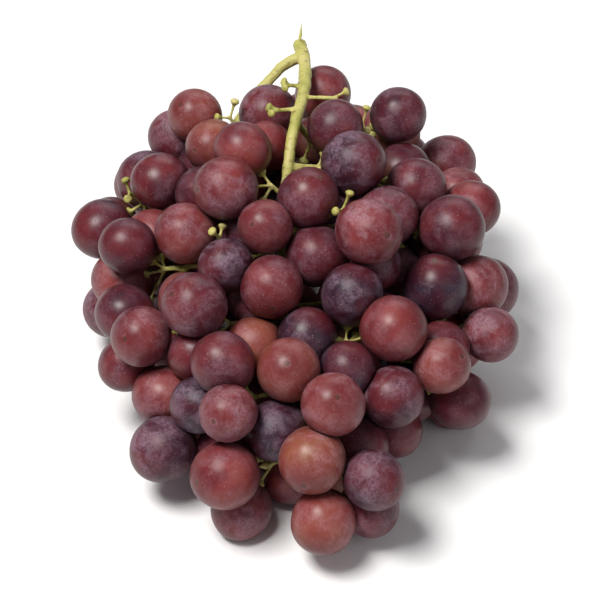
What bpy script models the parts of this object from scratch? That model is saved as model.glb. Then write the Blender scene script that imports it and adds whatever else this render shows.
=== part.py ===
"""A bunch of grapes lying on its side on a flat surface, the stem end towards +Y.

The berries grow in threes, a triad on each branchlet. The triads fill the lying bunch, the stem branches
out to them, and then berries and stem push each other apart until each has its own room.
"""

import bmesh
import bpy
import numpy as np
from mathutils import Vector

# The lying bunch, in metres. It lies along Y, its tip at the -Y end, on the plane Z = 0.
BUNCH_LENGTH = 0.186
SHOULDER_WIDTH = 0.150
SHOULDER_HEIGHT = 0.088
TIP_WIDTH = 0.094
TIP_HEIGHT = 0.056

# How many triads, and how they share the room: fewer in the middle, and fewer on the underside, which starts
# this far from mid height, as a share of the half height.
TRIADS = 49
OPENNESS = 0.8
UNDERSIDE_FROM = -0.2
UNDERSIDE_SHARE = 0.6
SQUARENESS_BELOW = 3.5
SQUARENESS_ABOVE = 2.2
POINTS_PER_TRIAD = 90
SHARING_ROUNDS = 60

# The berries: their spread in size, and how deep they press into each other and into the surface below.
BERRY_DIAMETER = 0.0200
BERRY_LENGTH = 0.0209
BERRY_SPREAD = 0.06
TRIAD_PRESS = 0.0017
FLOOR_PRESS = 0.0011

# The stem. It shows from its cut end for the exposed length, then dives into the bunch.
PEDUNCLE_DIAMETER = 0.0054
RACHIS_TIP_DIAMETER = 0.0028
WING_DIAMETER = 0.0042
BRANCHLET_DIAMETER = 0.0018
PEDICEL_DIAMETER = 0.0015
RECEPTACLE_DIAMETER = 0.0038
RECEPTACLE_DEPTH = 0.0016
PEDICEL_LENGTH = 0.0056
PEDICEL_SLACK = 0.0030
EXPOSED_LENGTH = 0.050
DIVE_LENGTH = 0.055
OVERHANG = 0.004
CREST_SLOPE = 0.10
RACHIS_WANDER = 0.004
RACHIS_BED = 0.46
RACHIS_TIP_SETBACK = 0.032
RACHIS_TAPER = 0.8
BRANCHLET_GROWTH = 0.4
WING_SPREAD = 0.024
SPIKE_LENGTH = 0.009
SPIKE_DIAMETER = 0.0013

# The bare twigs between the triads: how many, how far apart at least, and the length of the stalk of each.
SHOWN_TWIGS = 8
SHOWN_TWIG_SPACING = 0.034
SHOWN_TWIG_LENGTH = 0.010
TWIG_PICK_SLANT = 0.03
TWIG_TIPWARD = 0.006

# Play between the stem and a berry, and between triads.
CLEARANCE = 0.0003
SOLVER_MARGIN = 0.00015

# Settling: how often and how strongly the points are moved.
SEED = 12
SETTLING_ROUNDS = 400
SETTLING_PULL = 0.03
SETTLING_WEIGHT = 0.00005
CLEARING_ROUNDS = 900
AVERAGING = 0.6
BERRY_YIELD = 0.6
SHORTEST_BRANCHLET = 0.6
LONGEST_BRANCHLET = 1.2

# What a branchlet costs when the tree is grown, beside its own length.
WAY_BACK_COST = 0.35
BACKWARDS_COST = 0.8
CROWDING_COST = 0.004

# Where along the bunch, from the tip at 0 to the stem end at 1, it is widest and highest, and the share of
# its length over which each end is rounded off, in width and in height.
SHOULDER_PLACE = 0.62
TIP_ROUNDING = 0.30
STEM_ROUNDING = 0.40
STEM_END_DROP = 0.20

RACHIS_STEPS = 22
WING_ROOT = 1
# The rachis point that each bare twig leaves, the side that it points to, and the length of its stalk.
BARE_TWIGS = ((5, 1.0, 0.011), (4, -1.0, 0.006), (6, -0.8, 0.008))
SKIN_COLOURS = ((0.21, 0.045, 0.055), (0.13, 0.030, 0.045), (0.27, 0.075, 0.050))
STEM_COLOUR = (0.42, 0.36, 0.14)

BERRY_RADIUS = BERRY_DIAMETER / 2
BERRY_REACH = BERRY_LENGTH / 2
GAP = CLEARANCE + SOLVER_MARGIN
TRIAD_STAND_OFF = 1.1 * BERRY_DIAMETER


# ---- The room that the bunch takes up ----


def mix(start, end, share):
    return start + (end - start) * share


def ease(share):
    share = np.clip(share, 0.0, 1.0)
    return share * share * (3.0 - 2.0 * share)


def quarter_round(share):
    share = np.clip(share, 0.0, 1.0)
    return np.sqrt(1.0 - (1.0 - share) ** 2)


def section_at(y):
    """The half width and the height of the lying bunch at y."""
    place = y / BUNCH_LENGTH + 0.5
    grown = ease(place / SHOULDER_PLACE)
    ends = quarter_round(place / TIP_ROUNDING) * quarter_round((1.0 - place) / STEM_ROUNDING)
    half_width = 0.5 * mix(TIP_WIDTH, SHOULDER_WIDTH, grown) * ends
    drop = quarter_round(place / TIP_ROUNDING) * quarter_round((1.0 - place) / STEM_END_DROP)
    height = mix(TIP_HEIGHT, SHOULDER_HEIGHT, grown) * drop**0.5
    return half_width, height


def room_for_berries(random, count):
    """Points spread evenly over the room where a berry's centre can lie."""
    kept = np.empty((0, 3))
    while len(kept) < count:
        box = random.uniform((-0.5, -0.5, 0.0), (0.5, 0.5, 1.0), (count, 3))
        points = box * (SHOULDER_WIDTH, BUNCH_LENGTH, SHOULDER_HEIGHT)
        half_width, height = section_at(points[:, 1])
        half_height = height / 2 - BERRY_RADIUS
        half_width = half_width - BERRY_RADIUS
        up = (points[:, 2] - height / 2) / np.maximum(half_height, 1e-6)
        across = points[:, 0] / np.maximum(half_width, 1e-6)
        squareness = np.where(up < 0, SQUARENESS_BELOW, SQUARENESS_ABOVE)
        depth = np.abs(across) ** squareness + np.abs(up) ** squareness
        inside = (depth < 1.0) & (depth > random.uniform(0.0, OPENNESS, count))
        inside &= (up > UNDERSIDE_FROM) | (random.uniform(size=count) < UNDERSIDE_SHARE)
        roomy = (half_height > 0) & (half_width > 0)
        ends = np.abs(points[:, 1]) < BUNCH_LENGTH / 2 - BERRY_RADIUS
        kept = np.concatenate([kept, points[inside & roomy & ends]])
    return kept[:count]


def even_centres(points, count, random):
    """Centres that share the points out evenly, by moving each to the middle of the points nearest to it."""
    centres = points[random.choice(len(points), count, replace=False)]
    for _ in range(SHARING_ROUNDS):
        nearest = np.argmin(np.linalg.norm(points[:, None] - centres[None], axis=2), axis=1)
        centres = np.array([points[nearest == index].mean(axis=0) for index in range(count)])
    return centres


# ---- The rachis and the wing, whose places are set ----


def rachis_path(steps):
    """Points from the cut end to the tip: along the top of the shoulder, then down into the bunch."""
    travel = np.linspace(0.0, 1.0, steps)
    cut_end = BUNCH_LENGTH / 2 + OVERHANG
    last = -BUNCH_LENGTH / 2 + RACHIS_TIP_SETBACK
    y = mix(cut_end, last, travel)
    dive = cut_end - EXPOSED_LENGTH
    depth = ease((dive - y) / DIVE_LENGTH)
    crest = np.minimum(y, (SHOULDER_PLACE - 0.5) * BUNCH_LENGTH)
    _, height = section_at(crest)
    top = height - 0.55 * PEDUNCLE_DIAMETER - CREST_SLOPE * np.maximum(y - crest, 0.0)
    z = mix(top, RACHIS_BED * height, depth)
    x = RACHIS_WANDER * np.sin(2.4 * np.pi * travel + 0.5)
    return np.stack([x, y, z], axis=1)


def rachis_radius(travel):
    return 0.5 * mix(PEDUNCLE_DIAMETER, RACHIS_TIP_DIAMETER, travel**RACHIS_TAPER)


def bare_twigs(rachis):
    """Twigs on the stretch of rachis that shows, whose berries have dropped: for each, the fork at the end
    of its stalk, and the ends of its two stubs."""
    nodes = []
    for place, side, length in BARE_TWIGS:
        root = rachis[place]
        out = np.array([side, -0.35, 0.10])
        out /= np.linalg.norm(out)
        fork = root + length * out
        left = fork + 0.45 * length * (out + np.array([0.1 * side, 0.5, 0.25]))
        right = fork + 0.40 * length * (out + np.array([0.0, -0.7, 0.05]))
        nodes += [fork, left, right]
    return np.array(nodes)


def outward_at(points):
    """The direction out of the lying bunch at each point, away from a line low along its middle."""
    _, height = section_at(points[:, 1])
    tipward = np.full(len(points), -TWIG_TIPWARD)
    outward = np.stack([points[:, 0], tipward, points[:, 2] - 0.3 * height], axis=1)
    return outward / np.linalg.norm(outward, axis=1)[:, None]


def shown_twigs(joints, centres):
    """Twigs that stand out between the triads, whose berries have dropped: the triad that each grows beside,
    then its fork and the ends of its two stubs. They grow where a branchlet runs along the outside."""
    outward = outward_at(joints)
    along = centres - joints
    along /= np.linalg.norm(along, axis=1)[:, None]
    steepness = np.abs(np.einsum("tk,tk->t", outward, along))
    depth = section_at(joints[:, 1])[1] - joints[:, 2]
    chosen = []
    for triad in np.argsort(depth + TWIG_PICK_SLANT * steepness):
        if all(np.linalg.norm(joints[triad] - joints[other]) > SHOWN_TWIG_SPACING for other in chosen):
            chosen.append(triad)
    chosen = chosen[:SHOWN_TWIGS]
    nodes = []
    for triad in chosen:
        out = outward[triad] - 0.5 * (outward[triad] @ along[triad]) * along[triad]
        out /= np.linalg.norm(out)
        side = np.cross(out, along[triad])
        fork = joints[triad] + SHOWN_TWIG_LENGTH * out
        left = fork + 0.45 * SHOWN_TWIG_LENGTH * (out + side)
        right = fork + 0.40 * SHOWN_TWIG_LENGTH * (0.8 * out - side)
        nodes += [fork, left, right]
    return np.array(chosen), np.array(nodes)


def spike_end(cut_end):
    """The end of the dried tendril scar that stands off the cut end."""
    return cut_end + SPIKE_LENGTH * np.array([0.1, 0.8, 0.6])


def wing_path(root):
    """The thick side arm that leaves the rachis near its cut end and drops to the left."""
    reach = np.linspace(0.0, 1.0, 4)
    x = root[0] - WING_SPREAD * reach
    y = root[1] - 0.75 * WING_SPREAD * reach**1.2
    z = root[2] - 0.75 * WING_SPREAD * reach**1.8
    return np.stack([x, y, z], axis=1)


# ---- The tree that joins the triads to the rachis ----


def grow_tree(centres, fixed, open_nodes):
    """The node that each triad's branchlet leaves, and the joint where its three pedicels start. A branchlet
    costs its own length and part of the way back to the rachis, so near triads are joined to the rachis and
    far ones to triads on the way. The centres come nearest to the rachis first."""
    nodes = list(fixed)
    way_back = [0.0] * len(fixed)
    candidates = list(open_nodes)
    parents = []
    for centre in centres:
        costs = []
        for node in candidates:
            offset = centre - nodes[node]
            detour = WAY_BACK_COST * way_back[node] + BACKWARDS_COST * max(offset[1], 0.0)
            costs.append(np.linalg.norm(offset) + detour + CROWDING_COST * parents.count(node))
        parent = candidates[int(np.argmin(costs))]
        offset = centre - nodes[parent]
        length = np.linalg.norm(offset)
        set_back = min(BERRY_REACH + 0.4 * PEDICEL_LENGTH, SHORTEST_BRANCHLET * length)
        parents.append(parent)
        nodes.append(centre - offset / length * set_back)
        way_back.append(way_back[parent] + length)
        candidates.append(len(nodes) - 1)
    return np.array(parents), np.array(nodes)


def triad_places(centre, joint, size, random):
    """Three berry centres round a triad's centre, square to its branchlet, turned at random."""
    outward = Vector(centre - joint).normalized()
    side = outward.orthogonal().normalized()
    around = outward.cross(side)
    turn = random.uniform(0.0, 2.0 * np.pi)
    places = []
    for berry in range(3):
        angle = turn + berry * 2.0 * np.pi / 3.0
        places.append(centre + size * (np.cos(angle) * np.array(side) + np.sin(angle) * np.array(around)))
    return places


def beside_path(centres, path):
    """The centres, nearest to the path first, moved off it so that a triad doesn't straddle it."""
    _, offset = nearest_on_segments(centres, path[:-1], path[1:])
    distance = np.linalg.norm(offset, axis=2)
    nearest = np.argmin(distance, axis=1)
    rows = np.arange(len(centres))
    distance, offset = distance[rows, nearest], offset[rows, nearest]
    missing = np.maximum(TRIAD_STAND_OFF - distance, 0.0)
    moved = centres + offset / distance[:, None] * missing[:, None]
    return moved[np.argsort(distance)]


# ---- Making room: every point moves a little at a time until nothing is too near or too far ----


class Moves:
    """The moves that all the rules ask of each point in one round, averaged."""

    def __init__(self, points, freedom):
        self.points = points
        self.freedom = freedom
        self.total = np.zeros_like(points)
        self.asked = np.zeros(len(points))

    def ask(self, index, move):
        np.add.at(self.total, index, move)
        np.add.at(self.asked, index, 1.0)

    def spread(self, first, second, shortest, longest):
        """Keeps each pair of points between its shortest and its longest distance apart."""
        offset = self.points[second] - self.points[first]
        distance = np.maximum(np.linalg.norm(offset, axis=1), 1e-9)
        error = np.clip(distance, shortest, longest) - distance
        wrong = np.abs(error) > 1e-7
        first, second, error = first[wrong], second[wrong], error[wrong]
        step = offset[wrong] / distance[wrong, None] * error[:, None]
        shared = self.freedom[first] + self.freedom[second]
        self.ask(first, -step * (self.freedom[first] / shared)[:, None])
        self.ask(second, step * (self.freedom[second] / shared)[:, None])

    def apply(self):
        self.points += (self.freedom / np.maximum(self.asked, 1.0) ** AVERAGING)[:, None] * self.total


def reach_towards(direction, axis, half_width, half_length):
    """How far an oval berry reaches from its centre in a direction."""
    lengthwise = np.einsum("...k,...k->...", direction, axis) ** 2
    return np.sqrt(half_width**2 * (1.0 - lengthwise) + half_length**2 * lengthwise)


def nearest_on_segments(points, starts, ends):
    """For each point and segment: the share of the way along it that is nearest, and the offset from it."""
    run = ends - starts
    offset = points[:, None] - starts[None]
    share = np.einsum("psk,sk->ps", offset, run) / np.maximum(np.einsum("sk,sk->s", run, run), 1e-12)
    share = np.clip(share, 0.0, 1.0)
    return share, offset - share[..., None] * run[None]


class Bunch:
    """The points of the bunch: the set nodes of rachis and wing, the bare twigs, a joint for each triad, and
    the berries."""

    def __init__(self, random):
        self.rachis = rachis_path(RACHIS_STEPS)
        travel = np.linspace(0.0, 1.0, RACHIS_STEPS)
        self.rachis_radius = rachis_radius(travel)
        self.wing = wing_path(self.rachis[WING_ROOT])
        self.first_twig = RACHIS_STEPS + len(self.wing) - 1
        unplaced = np.zeros((3 * SHOWN_TWIGS, 3))
        fixed = np.concatenate([self.rachis, self.wing[1:], bare_twigs(self.rachis), unplaced])
        exposed = self.rachis[:, 1] > self.rachis[0, 1] - EXPOSED_LENGTH
        open_nodes = [node for node in range(RACHIS_STEPS) if not exposed[node]]
        open_nodes += [RACHIS_STEPS + len(self.wing) - 2]

        room = room_for_berries(random, POINTS_PER_TRIAD * TRIADS)
        centres = even_centres(room, TRIADS, random)
        centres = beside_path(beside_path(centres, self.wing), self.rachis)
        self.parents, nodes = grow_tree(centres, fixed, open_nodes)
        self.first_joint = len(fixed)
        self.first_berry = len(nodes)
        chosen, places = shown_twigs(nodes[self.first_joint :], centres)
        nodes[self.first_joint - 3 * SHOWN_TWIGS : self.first_joint] = places
        self.twig_roots = [place for place, _, _ in BARE_TWIGS] + list(self.first_joint + chosen)

        scale = 1.0 + BERRY_SPREAD * np.clip(random.normal(size=3 * TRIADS), -1.6, 1.6)
        self.half_width = BERRY_RADIUS * scale
        self.half_length = BERRY_REACH * scale
        spacing = (BERRY_DIAMETER - TRIAD_PRESS) / np.sqrt(3.0)
        berries = []
        for triad, centre in enumerate(centres):
            berries += triad_places(centre, nodes[self.first_joint + triad], spacing, random)
        self.points = np.concatenate([nodes, berries])
        self.targets = self.points.copy()
        self.freedom = np.ones(len(self.points))
        self.freedom[: self.first_twig] = 0.0
        self.set_up_rules()

    def set_up_rules(self):
        berries = np.arange(3 * TRIADS)
        self.triad_of = berries // 3
        self.joint_of = self.first_joint + self.triad_of
        self.stalk = PEDICEL_LENGTH + CLEARANCE + self.half_length
        first, second = np.triu_indices(3 * TRIADS, 1)
        same = self.triad_of[first] == self.triad_of[second]
        self.apart = (first[~same], second[~same])
        self.together = (first[same], second[same])
        self.hinge = (second[same] - first[same]) == 2

        joints = np.arange(TRIADS) + self.first_joint
        self.branchlet_length = np.linalg.norm(self.points[joints] - self.points[self.parents], axis=1)
        self.branchlet_radius = 0.5 * BRANCHLET_DIAMETER * self.carried() ** BRANCHLET_GROWTH
        twig_starts, twig_ends = self.twig_edges()
        firsts, seconds = self.twig_braces()
        lengths = np.linalg.norm(self.points[seconds] - self.points[firsts], axis=1)
        self.twig_rule = (firsts, seconds, lengths, lengths)
        wing = self.wing_nodes()
        starts = [np.arange(RACHIS_STEPS - 1), wing[:-1], twig_starts, self.parents, self.joint_of]
        ends = [np.arange(1, RACHIS_STEPS), wing[1:], twig_ends, joints, self.first_berry + berries]
        self.starts = np.concatenate(starts)
        self.ends = np.concatenate(ends)
        wing_radius = np.full(len(self.wing) - 1, WING_DIAMETER / 2)
        pedicel_radius = np.full(3 * TRIADS, PEDICEL_DIAMETER / 2)
        twig_radius = np.full(len(twig_starts), RECEPTACLE_DIAMETER / 2)
        radii = [self.rachis_radius[:-1], wing_radius, twig_radius, self.branchlet_radius, pedicel_radius]
        self.segment_radius = np.concatenate(radii)
        self.owner = np.concatenate([np.full(len(self.starts) - 3 * TRIADS, -1), berries])

    def wing_nodes(self):
        return np.array([WING_ROOT] + list(range(RACHIS_STEPS, self.first_twig)))

    def twig_edges(self):
        """The node numbers at the ends of each bare twig's stalk and two stubs."""
        starts, ends = [], []
        for number, root in enumerate(self.twig_roots):
            fork = self.first_twig + 3 * number
            starts += [root, fork, fork]
            ends += [fork, fork + 1, fork + 2]
        return np.array(starts), np.array(ends)

    def twig_braces(self):
        """The pairs of nodes whose distances keep each bare twig's shape."""
        firsts, seconds = [], []
        for number, root in enumerate(self.twig_roots):
            fork = self.first_twig + 3 * number
            firsts += [root, root, root, fork, fork, fork + 1]
            seconds += [fork, fork + 1, fork + 2, fork + 1, fork + 2, fork + 2]
        return np.array(firsts), np.array(seconds)

    def carried(self):
        """How many triads hang on each branchlet, its own among them."""
        count = np.ones(TRIADS)
        for triad in reversed(range(TRIADS)):
            above = self.parents[triad] - self.first_joint
            if above >= 0:
                count[above] += count[triad]
        return count

    def berry_axes(self):
        axes = self.points[self.first_berry :] - self.points[self.joint_of]
        return axes / np.linalg.norm(axes, axis=1)[:, None]

    def pair_rules(self, moves):
        berries = self.points[self.first_berry :]
        axes = self.berry_axes()
        for (first, second), kind in ((self.apart, "apart"), (self.together, "together")):
            direction = berries[second] - berries[first]
            direction /= np.maximum(np.linalg.norm(direction, axis=1), 1e-9)[:, None]
            touch = np.zeros(len(first))
            for end in (first, second):
                touch += reach_towards(direction, axes[end], self.half_width[end], self.half_length[end])
            if kind == "apart":
                moves.spread(self.first_berry + first, self.first_berry + second, touch + GAP, np.inf)
            else:
                shortest = touch - TRIAD_PRESS
                shortest = np.where(self.hinge, touch + GAP, shortest)
                longest = np.where(self.hinge, touch + BERRY_RADIUS, shortest)
                moves.spread(self.first_berry + first, self.first_berry + second, shortest, longest)

    def stem_rules(self, moves):
        berries = self.points[self.first_berry :]
        share, offset = nearest_on_segments(berries, self.points[self.starts], self.points[self.ends])
        distance = np.maximum(np.linalg.norm(offset, axis=2), 1e-9)
        direction = offset / distance[..., None]
        axes = self.berry_axes()[:, None]
        reach = reach_towards(direction, axes, self.half_width[:, None], self.half_length[:, None])
        error = reach + self.segment_radius[None] + GAP - distance
        error[self.owner[None] == np.arange(3 * TRIADS)[:, None]] = -1.0
        berry, segment = np.nonzero(error > 0)
        push = direction[berry, segment] * error[berry, segment][:, None]
        way = share[berry, segment][:, None]
        moves.ask(self.first_berry + berry, BERRY_YIELD * push)
        moves.ask(self.starts[segment], (BERRY_YIELD - 1.0) * push * (1.0 - way))
        moves.ask(self.ends[segment], (BERRY_YIELD - 1.0) * push * way)

    def clear_the_crest(self, moves):
        """Keeps berries from lying over the stretch of rachis that shows."""
        berries = self.points[self.first_berry :]
        shown = self.rachis[self.rachis[:, 1] > self.rachis[0, 1] - EXPOSED_LENGTH]
        beside = berries[:, 0] - np.interp(berries[:, 1], shown[::-1, 1], shown[::-1, 0])
        height = np.interp(berries[:, 1], shown[::-1, 1], shown[::-1, 2])
        over = (berries[:, 2] > height - BERRY_RADIUS) & (berries[:, 1] > shown[-1, 1] - BERRY_RADIUS)
        room = self.half_width + PEDUNCLE_DIAMETER / 2 + GAP
        error = np.where(over, room - np.abs(beside), 0.0)
        wrong = np.nonzero(error > 0)[0]
        push = np.zeros((len(wrong), 3))
        push[:, 0] = error[wrong] * np.where(beside[wrong] < 0, -1.0, 1.0)
        moves.ask(self.first_berry + wrong, push)

    def stalk_rules(self, moves):
        berries = np.arange(self.first_berry, len(self.points))
        joints = np.arange(self.first_joint, self.first_berry)
        moves.spread(self.joint_of, berries, self.stalk, self.stalk + PEDICEL_SLACK)
        length = self.branchlet_length
        moves.spread(self.parents, joints, SHORTEST_BRANCHLET * length, LONGEST_BRANCHLET * length)
        moves.spread(*self.twig_rule)

    def round_of_moves(self, pull, weight):
        joints = np.arange(self.first_joint, self.first_berry)
        berries = np.arange(self.first_berry, len(self.points))
        self.points += pull * self.freedom[:, None] * (self.targets - self.points)
        self.points[berries, 2] -= weight
        for rules in (self.stem_rules, self.pair_rules, self.clear_the_crest, self.stalk_rules):
            moves = Moves(self.points, self.freedom)
            rules(moves)
            moves.apply()
        floor = self.half_width - FLOOR_PRESS
        self.points[berries, 2] = np.maximum(self.points[berries, 2], floor)
        self.points[joints, 2] = np.maximum(self.points[joints, 2], 2.0 * BRANCHLET_DIAMETER)

    def settle(self):
        for _ in range(SETTLING_ROUNDS):
            self.round_of_moves(SETTLING_PULL, SETTLING_WEIGHT)
        for _ in range(CLEARING_ROUNDS):
            self.round_of_moves(0.0, 0.1 * SETTLING_WEIGHT)
        self.centre_on_origin()

    def centre_on_origin(self):
        """Slides the bunch so that the middle of its outline is over the origin."""
        berries = self.points[self.first_berry :, :2]
        reach = self.half_width[:, None]
        low = np.minimum((berries - reach).min(axis=0), self.rachis[:, :2].min(axis=0))
        high = np.maximum((berries + reach).max(axis=0), spike_end(self.rachis[0])[:2])
        self.points[:, :2] -= (low + high) / 2
        self.rachis = self.points[:RACHIS_STEPS]


# ---- Solids ----


def clear_scene():
    for leftover in list(bpy.data.objects):
        bpy.data.objects.remove(leftover, do_unlink=True)


def new_collection(name):
    collection = bpy.data.collections.new(name)
    bpy.context.scene.collection.children.link(collection)
    return collection


def principled(name, colour, roughness):
    material = bpy.data.materials.new(name)
    material.use_nodes = True
    shader = material.node_tree.nodes["Principled BSDF"]
    shader.inputs["Base Color"].default_value = (*colour, 1.0)
    shader.inputs["Roughness"].default_value = roughness
    shader.inputs["Metallic"].default_value = 0.0
    return material


def move_to(collection, thing):
    for holder in list(thing.users_collection):
        holder.objects.unlink(thing)
    collection.objects.link(thing)


def as_tool(thing, tools):
    move_to(tools, thing)
    thing.hide_render = True
    thing.display_type = "WIRE"


def boolean(thing, tool, operation):
    modifier = thing.modifiers.new(tool.name, "BOOLEAN")
    modifier.operation = operation
    modifier.solver = "EXACT"
    modifier.object = tool
    return modifier


def table_below(tools):
    """The surface that the bunch lies on, which flattens the berries under it."""
    depth = BUNCH_LENGTH
    bpy.ops.mesh.primitive_cube_add(size=1.0, location=(0.0, 0.0, -depth / 2))
    table = bpy.context.object
    table.name = "table"
    table.scale = (2.0 * BUNCH_LENGTH, 2.0 * BUNCH_LENGTH, depth)
    as_tool(table, tools)
    return table


def add_berry(name, centre, axis, half_width, half_length):
    bpy.ops.mesh.primitive_ico_sphere_add(subdivisions=2, radius=1.0, location=Vector(centre))
    berry = bpy.context.object
    berry.name = name
    berry.scale = (half_width, half_width, half_length)
    berry.rotation_mode = "QUATERNION"
    berry.rotation_quaternion = Vector(axis).to_track_quat("Z", "Y")
    berry.data.shade_smooth()
    return berry


def add_triads(bunch, parts, tools):
    """One solid for each triad: its three berries, pressed together, and flat where they rest."""
    table = table_below(tools)
    skins = [principled(f"berry_skin_{index}", colour, 0.42) for index, colour in enumerate(SKIN_COLOURS)]
    centres = bunch.points[bunch.first_berry :]
    axes = bunch.berry_axes()
    for triad in range(TRIADS):
        berries = []
        for berry in range(3 * triad, 3 * triad + 3):
            suffix = f"_tool_{len(berries)}" if berries else ""
            name = f"berries_{triad + 1:02d}{suffix}"
            size = (bunch.half_width[berry], bunch.half_length[berry])
            berries.append(add_berry(name, centres[berry], axes[berry], *size))
        for tool in berries[1:]:
            boolean(berries[0], tool, "UNION")
            as_tool(tool, tools)
        members = slice(3 * triad, 3 * triad + 3)
        if (centres[members, 2] < bunch.half_length[members]).any():
            boolean(berries[0], table, "DIFFERENCE")
        berries[0].data.materials.append(skins[triad % len(skins)])
        move_to(parts, berries[0])


def add_run(curve, points, radii):
    """One closed run of stem, its radius given at each point."""
    spline = curve.splines.new("POLY")
    spline.points.add(len(points) - 1)
    for knot, point, radius in zip(spline.points, points, radii):
        knot.co = (*point, 1.0)
        knot.radius = radius


def pedicel_run(joint, berry, half_length):
    """A thin stalk that swells to the receptacle, which stops just short of the berry's skin."""
    axis = (berry - joint) / np.linalg.norm(berry - joint)
    seat = berry - axis * (half_length + CLEARANCE)
    neck = seat - axis * RECEPTACLE_DEPTH
    thin, wide = PEDICEL_DIAMETER / 2, RECEPTACLE_DIAMETER / 2
    return [joint, neck, seat], [thin, thin, wide]


def stem_runs(bunch, curve, round_runs):
    """The rachis, the wing and the dried spike on one curve, and the thin runs on another."""
    add_run(round_runs, bunch.rachis, bunch.rachis_radius)
    wing = bunch.points[bunch.wing_nodes()]
    add_run(round_runs, wing, np.full(len(wing), WING_DIAMETER / 2))
    end = bunch.rachis[0]
    spike = spike_end(end)
    add_run(curve, [end, mix(end, spike, 0.4), spike], SPIKE_DIAMETER * np.array([0.8, 0.5, 0.25]))
    thin, wide = PEDICEL_DIAMETER / 2, RECEPTACLE_DIAMETER / 2
    for start, stop in zip(*bunch.twig_edges()):
        root, tip = bunch.points[start], bunch.points[stop]
        if bunch.first_twig <= start < bunch.first_joint:
            neck = tip - RECEPTACLE_DEPTH * (tip - root) / np.linalg.norm(tip - root)
            add_run(curve, [root, neck, tip], [thin, thin, wide])
        else:
            add_run(curve, [root, tip], [1.5 * thin, 1.2 * thin])
    for triad in range(TRIADS):
        joint = bunch.points[bunch.first_joint + triad]
        root = bunch.points[bunch.parents[triad]]
        radius = bunch.branchlet_radius[triad]
        past = joint + (joint - root) / np.linalg.norm(joint - root) * 0.8 * radius
        add_run(curve, [root, past], [radius, radius])
        for berry in range(3 * triad, 3 * triad + 3):
            centre = bunch.points[bunch.first_berry + berry]
            add_run(curve, *pedicel_run(joint, centre, bunch.half_length[berry]))


def meshed(name, curve):
    """A curve object's solids as one mesh object, its caps joined to its sides."""
    drawn = bpy.data.objects.new(name, curve)
    bpy.context.scene.collection.objects.link(drawn)
    bpy.context.view_layer.update()
    evaluated = drawn.evaluated_get(bpy.context.evaluated_depsgraph_get())
    mesh = bpy.data.meshes.new_from_object(evaluated)
    bpy.data.objects.remove(drawn)
    edit = bmesh.new()
    edit.from_mesh(mesh)
    bmesh.ops.remove_doubles(edit, verts=edit.verts, dist=0.00001)
    edit.to_mesh(mesh)
    edit.free()
    solid = bpy.data.objects.new(name, mesh)
    bpy.context.scene.collection.objects.link(solid)
    return solid


def new_curve(name, resolution):
    curve = bpy.data.curves.new(name, "CURVE")
    curve.dimensions = "3D"
    curve.bevel_depth = 1.0
    curve.bevel_resolution = resolution
    curve.use_fill_caps = True
    return curve


def add_stem(bunch, parts, tools):
    """The whole branched stem, grown as one piece."""
    thick, thin = new_curve("stem", 2), new_curve("branchlets", 0)
    stem_runs(bunch, thin, thick)
    stem, branchlets = meshed("stem", thick), meshed("branchlets", thin)
    boolean(stem, branchlets, "UNION").use_self = True
    as_tool(branchlets, tools)
    stem.data.materials.append(principled("stem_green", STEM_COLOUR, 0.6))
    stem.data.shade_smooth()
    move_to(parts, stem)


clear_scene()
grapes = new_collection("bunch_of_grapes")
tools = new_collection("cutters")
bunch = Bunch(np.random.default_rng(SEED))
bunch.settle()
add_triads(bunch, grapes, tools)
add_stem(bunch, grapes, tools)
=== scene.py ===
import math

import bmesh
import bpy
import numpy as np
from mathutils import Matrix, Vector, noise


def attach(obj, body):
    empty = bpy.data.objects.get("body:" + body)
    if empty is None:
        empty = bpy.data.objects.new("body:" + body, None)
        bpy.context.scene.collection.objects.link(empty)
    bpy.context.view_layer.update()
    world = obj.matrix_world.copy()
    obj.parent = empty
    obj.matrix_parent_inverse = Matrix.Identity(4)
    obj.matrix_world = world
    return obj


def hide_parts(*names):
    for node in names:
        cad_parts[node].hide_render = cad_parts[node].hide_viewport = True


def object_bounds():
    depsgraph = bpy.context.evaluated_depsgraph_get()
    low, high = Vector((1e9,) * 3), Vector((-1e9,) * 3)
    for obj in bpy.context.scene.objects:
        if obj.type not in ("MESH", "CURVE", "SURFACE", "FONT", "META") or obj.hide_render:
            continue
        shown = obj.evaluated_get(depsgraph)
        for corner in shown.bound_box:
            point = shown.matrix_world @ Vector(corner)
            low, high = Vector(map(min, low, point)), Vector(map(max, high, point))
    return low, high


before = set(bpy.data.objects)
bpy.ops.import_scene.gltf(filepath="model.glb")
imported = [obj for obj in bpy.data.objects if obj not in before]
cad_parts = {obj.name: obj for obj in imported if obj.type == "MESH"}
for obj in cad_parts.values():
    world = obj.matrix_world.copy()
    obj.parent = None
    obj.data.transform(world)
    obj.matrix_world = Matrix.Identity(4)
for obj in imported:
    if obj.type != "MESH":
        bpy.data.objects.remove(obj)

cad_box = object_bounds()


# ---- The berries' places ----
# The berries grow in threes, pressed together, and each three is one node of the frame. A crease runs round
# every berry where it meets the next, so the faces inside one crease are one berry.

CREASE = -0.15
FLOOR_TOUCH = 0.00002
WELD_DISTANCE = 0.000002
SEAT_FACING = 0.99
SEAT_NEAREST = 0.96
SEAT_FURTHEST = 1.16
SAME_FLAT = 0.9995


def merged_copy(node):
    shape = bmesh.new()
    shape.from_mesh(node.data)
    bmesh.ops.remove_doubles(shape, verts=shape.verts, dist=WELD_DISTANCE)
    shape.normal_update()
    return shape


def is_crease(edge):
    return len(edge.link_faces) == 2 and edge.calc_face_angle_signed() < CREASE


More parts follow.
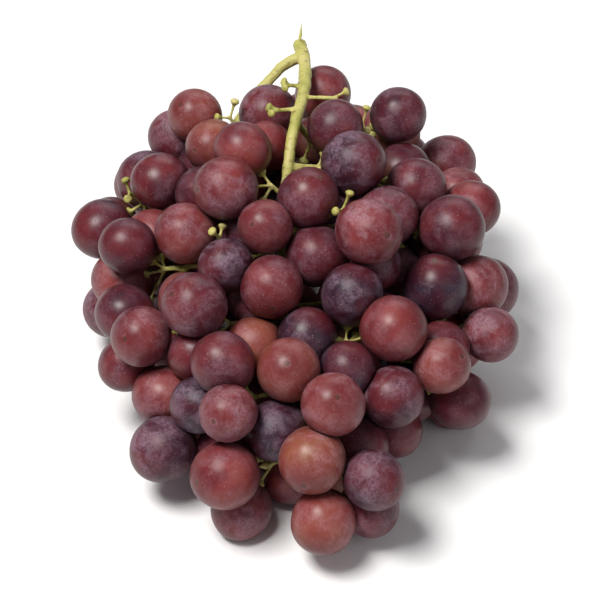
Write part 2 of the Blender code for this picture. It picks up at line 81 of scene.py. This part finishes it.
def faces_by_berry(shape):
    """The faces of each berry, in the mesh's own order: those that are reached without crossing a crease."""
    waiting = dict.fromkeys(shape.faces)
    while waiting:
        berry = [next(iter(waiting))]
        del waiting[berry[0]]
        for face in berry:
            for edge in face.edges:
                if is_crease(edge):
                    continue
                for other in edge.link_faces:
                    if other in waiting:
                        del waiting[other]
                        berry.append(other)
        yield berry


def centre_and_radius(points):
    """The ball that passes nearest to all the points."""
    known = np.concatenate([2.0 * points, np.ones((len(points), 1))], axis=1)
    answer = np.linalg.lstsq(known, (points**2).sum(axis=1), rcond=None)[0]
    centre = answer[:3]
    return centre, math.sqrt(answer[3] + centre @ centre)


def stem_seats(stem):
    """The middle, direction and area of every face of the stem. Any of them may be the end of a stalk."""
    places = np.array([face.calc_center_median() for face in stem.faces])
    normals = np.array([face.normal for face in stem.faces])
    areas = np.array([face.calc_area() for face in stem.faces])
    return places, normals, areas


def stalk_seat(centre, radius, seats):
    """Where the berry's own stalk ends, just off its skin, facing its middle."""
    places, normals, areas = seats
    away = centre - places
    distance = np.linalg.norm(away, axis=1)
    facing = np.einsum("fk,fk->f", normals, away) / distance
    near = (facing > SEAT_FACING) & (distance < radius * SEAT_FURTHEST) & (distance > radius * SEAT_NEAREST)
    if not near.any():
        nearest = np.argmin(distance)
        return places[nearest], away[nearest] / distance[nearest]

    def coplanar(face):
        return near & (normals @ normals[face] > SAME_FLAT)

    best = max(np.nonzero(near)[0], key=lambda face: areas[coplanar(face)].sum())
    same = coplanar(best)
    seat = (places[same] * areas[same, None]).sum(axis=0) / areas[same].sum()
    return seat, normals[best]


stem_shape = merged_copy(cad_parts["stem"])
seats = stem_seats(stem_shape)
berry_nodes = sorted(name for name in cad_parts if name.startswith("berries"))
berries = []
for node_name in berry_nodes:
    triad = merged_copy(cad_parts[node_name])
    for faces in faces_by_berry(triad):
        corners = dict.fromkeys(vert for face in faces for vert in face.verts)
        on_skin = [v for v in corners if v.co.z > FLOOR_TOUCH and not any(map(is_crease, v.link_edges))]
        centre, radius = centre_and_radius(np.array([v.co for v in on_skin]))
        seat, inward = stalk_seat(centre, radius, seats)
        grown = {"node": node_name, "centre": centre, "radius": radius, "seat": seat, "axis": -inward}
        berries.append(grown)
    triad.free()


# ---- The berries ----
# Round, slightly oval berries with a thick waxy skin over translucent flesh. Each has a shallow hollow round
# its stalk and a small dry scar at the other end, and is pressed flat where it meets its neighbours.

BERRY_SIDES = 40
BERRY_RINGS = 28
BERRY_OVAL = 1.045
SKIN_SWELL = 1.035
SKIN_SINK = 0.985
UNEVENNESS = 0.035
UNEVEN_SCALE = 0.9
PRESS_SOFTNESS = 0.00035
RIPENESS = 0.43
# The next two push berries deep in the bunch and low down towards the dark skin colours: painted shade.
SHADE_INSIDE_DARKENING = 0.25
SHADE_BELOW_DARKENING = 0.15
RIPENESS_SPREAD = 0.17
UNRIPE_SHARE = 0.05
UNRIPE_RANGE = (0.12, 0.24)
DUST_RANGE = (0.25, 1.0)


def deselect_all():
    for thing in bpy.context.selected_objects:
        thing.select_set(False)


def select_verts(thing, wanted):
    """In edit mode: selects the vertices whose place passes the test."""
    shape = bmesh.from_edit_mesh(thing.data)
    shape.select_mode = {"VERT"}
    for vert in shape.verts:
        vert.select = wanted(vert.co)
    shape.select_flush_mode()
    bmesh.update_edit_mesh(thing.data)


def model_berry():
    """One berry of radius 1, its stalk end at +Z."""
    deselect_all()
    bpy.ops.mesh.primitive_uv_sphere_add(segments=BERRY_SIDES, ring_count=BERRY_RINGS, radius=1.0)
    berry = bpy.context.object
    berry.name = "berry_pattern"
    bpy.ops.object.mode_set(mode="EDIT")
    for height, sink in ((0.93, -0.010), (0.965, -0.018), (0.985, -0.022), (0.999, -0.020)):
        select_verts(berry, lambda place: place.z > height)
        bpy.ops.transform.translate(value=(0.0, 0.0, sink))
    for height, size in ((-0.985, 0.9), (-0.994, 0.55)):
        select_verts(berry, lambda place: place.z < height)
        bpy.ops.transform.resize(value=(size, size, 1.0))
    select_verts(berry, lambda place: place.z < -0.9985)
    bpy.ops.transform.translate(value=(0.0, 0.0, 0.010))
    bpy.ops.object.mode_set(mode="OBJECT")
    return berry


pattern = model_berry()
pattern_places = np.array([vert.co for vert in pattern.data.vertices])
pattern_upright = pattern_places[:, 2] / np.linalg.norm(pattern_places, axis=1)
pattern_faces = [list(face.vertices) for face in pattern.data.polygons]
centres = np.array([berry["centre"] for berry in berries])
radii = np.array([berry["radius"] for berry in berries]) * SKIN_SWELL
random = np.random.default_rng(21)
core = np.array([0.0, 0.0, 0.5]) * (np.array(cad_box[0]) + np.array(cad_box[1]))
bunch_size = (np.array(cad_box[1]) - np.array(cad_box[0])) / 2


def pressed(places, number):
    """The berry's points, flattened where a neighbour or the surface below presses on it."""
    centre, radius = centres[number], radii[number]
    apart = centres - centre
    distance = np.linalg.norm(apart, axis=1)
    for other in np.nonzero((distance > 0) & (distance < radius + radii))[0]:
        outward = apart[other] / distance[other]
        meeting = (distance[other] ** 2 + radius**2 - radii[other] ** 2) / (2.0 * distance[other])
        over = (places - centre) @ outward - meeting
        kept = -PRESS_SOFTNESS * np.logaddexp(0.0, -over / PRESS_SOFTNESS)
        places = places + (kept - over)[:, None] * outward
    places[:, 2] = np.maximum(places[:, 2], 0.0)
    return places


def berry_mesh_points(number):
    """The pattern's points, given this berry's size, its own slight unevenness, its tilt and its place."""
    berry = berries[number]
    axis = Vector(berry["axis"]).normalized()
    turn = np.array(axis.to_track_quat("Z", "Y").to_matrix())
    wander = Vector(random.uniform(-50.0, 50.0, 3))
    uneven = np.array([noise.noise(Vector(place) * UNEVEN_SCALE + wander) for place in pattern_places])
    places = pattern_places * (1.0 + UNEVENNESS * uneven)[:, None]
    half = radii[number] * np.array([SKIN_SINK, SKIN_SINK, SKIN_SINK * BERRY_OVAL])
    return pressed((places * half) @ turn.T + centres[number], number)


def add_berry_piece(node_name, members):
    """One piece for a triad: its berries' meshes side by side, and what the skin's pattern follows."""
    corners, faces, ripeness_and_shade, from_stalk, dust = [], [], [], [], []
    for number in members:
        places = berry_mesh_points(number)
        faces += [[corner + len(corners) for corner in face] for face in pattern_faces]
        corners += list(places)
        # Painted shade: berries deep in the bunch and low down are pushed towards the dark end of the skin
        # colours, standing in for the shade there; the random spread and the few unripe berries are real
        # variation.
        depth = 1.0 - np.linalg.norm((centres[number] - core) / bunch_size)
        low = 1.0 - centres[number][2] / bunch_size[2] / 2.0
        ripe_and_shade = RIPENESS + SHADE_INSIDE_DARKENING * max(depth, 0.0) + SHADE_BELOW_DARKENING * low
        ripe_and_shade += random.normal(0.0, RIPENESS_SPREAD)
        if random.uniform() < UNRIPE_SHARE:
            ripe_and_shade = random.uniform(*UNRIPE_RANGE)
        ripeness_and_shade += [float(np.clip(ripe_and_shade, 0.0, 1.0))] * len(places)
        dust += [float(random.uniform(*DUST_RANGE))] * len(places)
        from_stalk += list(np.arccos(np.clip(pattern_upright, -1.0, 1.0)) / math.pi)
    mesh = bpy.data.meshes.new(node_name + "_skin")
    mesh.from_pydata(corners, [], faces)
    for name, values in (("ripeness_and_shade", ripeness_and_shade), ("from_stalk", from_stalk), ("dust", dust)):
        layer = mesh.attributes.new(name, "FLOAT", "POINT")
        layer.data.foreach_set("value", np.array(values, np.float32))
    mesh.shade_smooth()
    piece = bpy.data.objects.new(node_name + "_skin", mesh)
    bpy.context.scene.collection.objects.link(piece)
    return piece


berry_pieces = []
for node_name in berry_nodes:
    members = [number for number, berry in enumerate(berries) if berry["node"] == node_name]
    berry_pieces.append(add_berry_piece(node_name, members))
bpy.data.objects.remove(pattern)


def new_material(name):
    material = bpy.data.materials.new(name)
    material.use_nodes = True
    return material, material.node_tree, material.node_tree.nodes["Principled BSDF"]


def ramp(tree, source, stops):
    """A colour ramp fed by source. Each stop is (place, colour)."""
    node = tree.nodes.new("ShaderNodeValToRGB")
    marks = node.color_ramp.elements
    while len(marks) < len(stops):
        marks.new(0.5)
    for mark, (place, colour) in zip(marks, stops):
        mark.position = place
        mark.color = (*colour, 1.0) if isinstance(colour, tuple) else (colour, colour, colour, 1.0)
    tree.links.new(source, node.inputs[0])
    return node.outputs["Color"]


def blotch_group():
    """Soft-edged blotches in the material's own space: 0 outside them and 1 inside."""
    tree = bpy.data.node_groups.new("blotches", "ShaderNodeTree")
    sockets = tree.interface
    sockets.new_socket(name="Place", in_out="INPUT", socket_type="NodeSocketVector")
    for name in ("Scale", "Detail", "Distortion", "From", "To"):
        sockets.new_socket(name=name, in_out="INPUT", socket_type="NodeSocketFloat")
    sockets.new_socket(name="Mask", in_out="OUTPUT", socket_type="NodeSocketFloat")
    given = tree.nodes.new("NodeGroupInput")
    made = tree.nodes.new("NodeGroupOutput")
    grain = tree.nodes.new("ShaderNodeTexNoise")
    grain.inputs["Roughness"].default_value = 0.6
    edge = tree.nodes.new("ShaderNodeMapRange")
    edge.interpolation_type = "SMOOTHSTEP"
    tree.links.new(given.outputs["Place"], grain.inputs["Vector"])
    for name in ("Scale", "Detail", "Distortion"):
        tree.links.new(given.outputs[name], grain.inputs[name])
    tree.links.new(grain.outputs["Fac"], edge.inputs["Value"])
    tree.links.new(given.outputs["From"], edge.inputs["From Min"])
    tree.links.new(given.outputs["To"], edge.inputs["From Max"])
    tree.links.new(edge.outputs["Result"], made.inputs["Mask"])
    return tree


blotches = blotch_group()


def blotch_mask(tree, place, scale, detail, start, end, distortion=0.0):
    node = tree.nodes.new("ShaderNodeGroup")
    node.node_tree = blotches
    tree.links.new(place, node.inputs["Place"])
    numbers = {"Scale": scale, "Detail": detail, "Distortion": distortion, "From": start, "To": end}
    for name, value in numbers.items():
        node.inputs[name].default_value = value
    return node.outputs["Mask"]


def combine(tree, operation, first, second):
    """One Math node. Each input is a socket or a number."""
    node = tree.nodes.new("ShaderNodeMath")
    node.operation = operation
    node.use_clamp = operation in ("MULTIPLY", "ADD")
    for socket, value in zip(node.inputs, (first, second)):
        if isinstance(value, (int, float)):
            socket.default_value = value
        else:
            tree.links.new(value, socket)
    return node.outputs[0]


def blend_colour(tree, share, first, second, kind="MIX"):
    node = tree.nodes.new("ShaderNodeMix")
    node.data_type = "RGBA"
    node.blend_type = kind
    sockets = [socket for socket in node.inputs if socket.type == "RGBA"]
    for socket, value in zip(sockets, (first, second)):
        if isinstance(value, tuple):
            socket.default_value = (*value, 1.0)
        else:
            tree.links.new(value, socket)
    if isinstance(share, (int, float)):
        node.inputs["Factor"].default_value = share
    else:
        tree.links.new(share, node.inputs["Factor"])
    return [socket for socket in node.outputs if socket.type == "RGBA"][0]


def attribute(tree, name):
    node = tree.nodes.new("ShaderNodeAttribute")
    node.attribute_name = name
    return node.outputs["Fac"]


def product(tree, *factors):
    result = factors[0]
    for factor in factors[1:]:
        result = combine(tree, "MULTIPLY", result, factor)
    return result


def skin_colour(tree, place, ripeness_and_shade, from_stalk):
    """Amber to blue-black as the berries ripen, darker still where shade is painted deep in the bunch and
    low down, drifting over a berry, olive by the stalk and brown at the scar.
    """
    drift = blotch_mask(tree, place, 85.0, 3.0, 0.2, 0.8)
    shift = combine(tree, "MULTIPLY_ADD", drift, 0.34)
    shift.node.inputs[2].default_value = -0.17
    shifted = combine(tree, "ADD", ripeness_and_shade, shift)
    skin = ramp(tree, shifted, (
        (0.00, (0.250, 0.095, 0.040)),
        (0.14, (0.245, 0.058, 0.038)),
        (0.36, (0.215, 0.033, 0.033)),
        (0.58, (0.118, 0.015, 0.022)),
        (0.80, (0.050, 0.009, 0.019)),
        (1.00, (0.015, 0.008, 0.020)),
    ))
    shoulder = ramp(tree, from_stalk, ((0.0, 0.75), (0.16, 0.25), (0.32, 0.0)))
    skin = blend_colour(tree, shoulder, skin, (0.17, 0.085, 0.038))
    blush = ramp(tree, from_stalk, ((0.66, 0.0), (0.90, 0.75)))
    skin = blend_colour(tree, blush, skin, (0.120, 0.012, 0.016))
    ragged = combine(tree, "MULTIPLY_ADD", blotch_mask(tree, place, 1500.0, 3.0, 0.3, 0.7), 0.02)
    tree.links.new(from_stalk, ragged.node.inputs[2])
    scar = ramp(tree, ragged, ((0.980, 0.0), (0.992, 0.9)))
    return blend_colour(tree, scar, skin, (0.075, 0.034, 0.020))


def freckles(tree, place):
    """Small pale corky dots, thick in some places and missing in others."""
    cells = tree.nodes.new("ShaderNodeTexVoronoi")
    cells.inputs["Scale"].default_value = 820.0
    tree.links.new(place, cells.inputs["Vector"])
    dots = ramp(tree, cells.outputs["Distance"], ((0.10, 1.0), (0.24, 0.0)))
    return product(tree, dots, blotch_mask(tree, place, 240.0, 2.0, 0.40, 0.62))


def bloom_mask(tree, place, from_stalk, dust):
    """The waxy dust: clouds and fine grain, rubbed off in streaks and wiped round the scar."""
    cloud = blotch_mask(tree, place, 190.0, 6.0, 0.30, 0.68, 0.7)
    rubbed = blotch_mask(tree, place, 58.0, 3.0, 0.30, 0.56, 1.4)
    grain = blotch_mask(tree, place, 1100.0, 4.0, 0.22, 0.62)
    wiped = ramp(tree, from_stalk, ((0.72, 1.0), (0.90, 0.35), (0.945, 0.35), (0.962, 0.95), (0.978, 0.1)))
    return product(tree, cloud, rubbed, grain, wiped, dust)


def berry_skin():
    """Thick skin over clear flesh: its colour, its freckles, a painted shade darkening it towards the
    outline, and over them the bloom.
    """
    material, tree, shader = new_material("berry_skin")
    place = tree.nodes.new("ShaderNodeTexCoord").outputs["Object"]
    ripeness_and_shade = attribute(tree, "ripeness_and_shade")
    from_stalk = attribute(tree, "from_stalk")
    skin = skin_colour(tree, place, ripeness_and_shade, from_stalk)
    dots = freckles(tree, place)
    skin = blend_colour(tree, combine(tree, "MULTIPLY", dots, 0.32), skin, (0.50, 0.30, 0.25))
    bloom = bloom_mask(tree, place, from_stalk, attribute(tree, "dust"))
    veil = blend_colour(tree, ripeness_and_shade, (0.48, 0.25, 0.26), (0.25, 0.18, 0.27))
    # Painted shade: the skin is darkened towards each berry's outline as the camera sees it.
    edge = tree.nodes.new("ShaderNodeLayerWeight")
    edge.inputs["Blend"].default_value = 0.32
    painted_rim_shade = ramp(tree, edge.outputs["Facing"], ((0.10, 1.0), (0.75, 0.55)))
    skin = blend_colour(tree, 1.0, skin, painted_rim_shade, "MULTIPLY")
    colour = blend_colour(tree, combine(tree, "MULTIPLY", bloom, 0.62), skin, veil)
    tree.links.new(colour, shader.inputs["Base Color"])
    tree.links.new(ramp(tree, bloom, ((0.0, 0.34), (0.8, 0.66))), shader.inputs["Roughness"])
    shader.inputs["Specular IOR Level"].default_value = 0.32
    shader.inputs["Subsurface Weight"].default_value = 0.16
    shader.inputs["Subsurface Radius"].default_value = (1.0, 0.22, 0.14)
    shader.inputs["Subsurface Scale"].default_value = 0.004
    bump = tree.nodes.new("ShaderNodeBump")
    bump.inputs["Strength"].default_value = 0.25
    bump.inputs["Distance"].default_value = 0.0003
    tree.links.new(combine(tree, "ADD", bloom, dots), bump.inputs["Height"])
    tree.links.new(bump.outputs["Normal"], shader.inputs["Normal"])
    return material


skin = berry_skin()
for piece, node_name in zip(berry_pieces, berry_nodes):
    piece.data.materials.append(skin)
    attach(piece, "root")
    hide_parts(node_name)


# ---- The stem ----
# One grown, green and slightly woody piece: the thick peduncle and rachis, the arms that branch from it, and
# a thin stalk to each berry, which swells to a warty collar under the skin.

STEM_GRAIN = 0.00052
COLLAR_SIDES = 14
COLLAR_RINGS = 8
COLLAR_RADIUS = 0.0021
BARE_END_RADIUS = 0.0018
COLLAR_HEIGHT = 0.0011
CAP_DIAGONAL = 0.0038
CAP_TOLERANCE = 0.05
CAP_FLATNESS = 0.9999
LUMP_SCALE = 210.0
SMALL_LUMP_SCALE = 483.0
LUMP_HEIGHT = 0.00032


def add_collar(seat, axis, radius):
    """The swollen collar that carries a berry, or that a dropped berry has left."""
    bpy.ops.mesh.primitive_uv_sphere_add(segments=COLLAR_SIDES, ring_count=COLLAR_RINGS, radius=1.0)
    collar = bpy.context.object
    collar.location = seat
    collar.scale = (radius, radius, COLLAR_HEIGHT)
    collar.rotation_mode = "QUATERNION"
    collar.rotation_quaternion = Vector(axis).to_track_quat("Z", "Y")
    return collar


def is_half_cap(face):
    return abs(face.calc_area() / (CAP_DIAGONAL**2 / 4) - 1.0) < CAP_TOLERANCE


def bare_ends(stem, taken):
    """The middle and direction of each square stalk end that has no berry: two flat halves, one diagonal."""
    for edge in stem.edges:
        if len(edge.link_faces) != 2 or not all(map(is_half_cap, edge.link_faces)):
            continue
        first, second = edge.link_faces
        middle = np.array((edge.verts[0].co + edge.verts[1].co) / 2)
        flat = first.normal.dot(second.normal) > CAP_FLATNESS
        if flat and np.linalg.norm(taken - middle, axis=1).min() > COLLAR_RADIUS:
            yield middle, np.array(first.normal)


deselect_all()
stem_mesh = bpy.data.meshes.new("stem_green")
stem_shape.to_mesh(stem_mesh)
stem = bpy.data.objects.new("stem_green", stem_mesh)
bpy.context.scene.collection.objects.link(stem)
collars = [add_collar(berry["seat"], berry["axis"], COLLAR_RADIUS) for berry in berries]
stalk_ends = np.array([berry["seat"] for berry in berries])
collars += [add_collar(middle, axis, BARE_END_RADIUS) for middle, axis in bare_ends(stem_shape, stalk_ends)]
stem_shape.free()
deselect_all()
for part in [stem, *collars]:
    part.select_set(True)
bpy.context.view_layer.objects.active = stem
bpy.ops.object.join()
stem.data.remesh_voxel_size = STEM_GRAIN
stem.data.use_remesh_fix_poles = True
bpy.ops.object.voxel_remesh()
outward = [vert.normal.copy() for vert in stem.data.vertices]
for vert, normal in zip(stem.data.vertices, outward):
    lump = noise.noise(vert.co * LUMP_SCALE) + 0.5 * noise.noise(vert.co * SMALL_LUMP_SCALE)
    vert.co += LUMP_HEIGHT * lump * normal
smooth = stem.modifiers.new("rounded", "CORRECTIVE_SMOOTH")
smooth.use_only_smooth = True
smooth.factor = 0.5
smooth.iterations = 5
bpy.ops.object.modifier_apply(modifier=smooth.name)


def stem_skin():
    """Yellow-green bark, brown in flecks, with short raised ridges."""
    material, tree, shader = new_material("stem_green")
    place = tree.nodes.new("ShaderNodeTexCoord").outputs["Object"]
    green = ramp(tree, blotch_mask(tree, place, 60.0, 3.0, 0.25, 0.75), (
        (0.0, (0.300, 0.300, 0.060)),
        (0.5, (0.470, 0.435, 0.115)),
        (1.0, (0.590, 0.515, 0.195)),
    ))
    flecks = blotch_mask(tree, place, 430.0, 5.0, 0.54, 0.70)
    bark = blend_colour(tree, combine(tree, "MULTIPLY", flecks, 0.7), green, (0.160, 0.085, 0.028))
    tree.links.new(bark, shader.inputs["Base Color"])
    tree.links.new(ramp(tree, flecks, ((0.0, 0.48), (1.0, 0.8))), shader.inputs["Roughness"])
    shader.inputs["Subsurface Weight"].default_value = 0.08
    shader.inputs["Subsurface Radius"].default_value = (1.0, 0.7, 0.2)
    shader.inputs["Subsurface Scale"].default_value = 0.0015
    bump = tree.nodes.new("ShaderNodeBump")
    bump.inputs["Strength"].default_value = 0.5
    bump.inputs["Distance"].default_value = 0.0004
    tree.links.new(blotch_mask(tree, place, 560.0, 5.0, 0.2, 0.8), bump.inputs["Height"])
    tree.links.new(bump.outputs["Normal"], shader.inputs["Normal"])
    return material


stem.data.materials.clear()
stem.data.materials.append(stem_skin())
stem.data.shade_smooth()
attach(stem, "root")
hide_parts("stem")


# ---- The surface, the light and the camera ----
# A white table under wide soft lamps, seen from in front and above. The room is bright to look at and gives
# little light of its own, so that the lamps shape the berries.

TABLE_SIZE = 3.0
FLOOR_DROP = 0.0002
ROOM_LIGHT = 0.19
ROOM_SEEN = 0.85
VIEW_HEIGHT = math.radians(42.0)
VIEW_DISTANCE = 0.78
AIM_HEIGHT = 0.036
CAMERA_LENS = 135.0


def add_lamp(name, place, size, power, tint, target):
    lamp = bpy.data.lights.new(name, "AREA")
    lamp.shape = "RECTANGLE"
    lamp.size, lamp.size_y = size
    lamp.energy = power
    lamp.color = tint
    holder = bpy.data.objects.new(name, lamp)
    bpy.context.scene.collection.objects.link(holder)
    holder.location = place
    holder.rotation_euler = (target - Vector(place)).to_track_quat("-Z", "Y").to_euler()


deselect_all()
bpy.ops.mesh.primitive_plane_add(size=TABLE_SIZE, location=(0.0, 0.0, -FLOOR_DROP))
table = bpy.context.object
table.name = "table_top"
table_finish, table_tree, table_shader = new_material("table_white")
table_place = table_tree.nodes.new("ShaderNodeTexCoord").outputs["Object"]
table_clouds = blotch_mask(table_tree, table_place, 6.0, 3.0, 0.3, 0.7)
table_tint = ramp(table_tree, table_clouds, ((0.0, (0.90, 0.90, 0.90)), (1.0, (0.92, 0.92, 0.92))))
table_tree.links.new(table_tint, table_shader.inputs["Base Color"])
table_shader.inputs["Roughness"].default_value = 0.8
table.data.materials.append(table_finish)

aim = Vector((0.0, 0.0, AIM_HEIGHT))
add_lamp("key_lamp", (-0.45, -0.25, 1.20), (0.55, 0.4), 19.0, (1.0, 0.985, 0.96), aim)
add_lamp("fill_lamp", (0.85, -0.75, 0.75), (1.0, 0.8), 2.4, (0.97, 0.98, 1.0), aim)
add_lamp("back_lamp", (0.15, 1.0, 0.9), (1.0, 0.5), 4.5, (1.0, 1.0, 1.0), aim)
world = bpy.data.worlds.new("soft_room")
world.use_nodes = True
room = world.node_tree.nodes["Background"]
room.inputs["Color"].default_value = (0.93, 0.95, 1.0, 1.0)
rays = world.node_tree.nodes.new("ShaderNodeLightPath")
is_seen = rays.outputs["Is Camera Ray"]
seen_or_felt = combine(world.node_tree, "MULTIPLY_ADD", is_seen, ROOM_SEEN - ROOM_LIGHT)
seen_or_felt.node.inputs[2].default_value = ROOM_LIGHT
world.node_tree.links.new(seen_or_felt, room.inputs["Strength"])
bpy.context.scene.world = world
bpy.context.scene.view_settings.view_transform = "Standard"

camera = bpy.data.objects.new("camera", bpy.data.cameras.new("camera"))
bpy.context.scene.collection.objects.link(camera)
camera.data.lens = CAMERA_LENS
back = Vector((0.0, -math.cos(VIEW_HEIGHT), math.sin(VIEW_HEIGHT)))
camera.location = aim + VIEW_DISTANCE * back
camera.rotation_euler = (-back).to_track_quat("-Z", "Y").to_euler()
bpy.context.scene.camera = camera
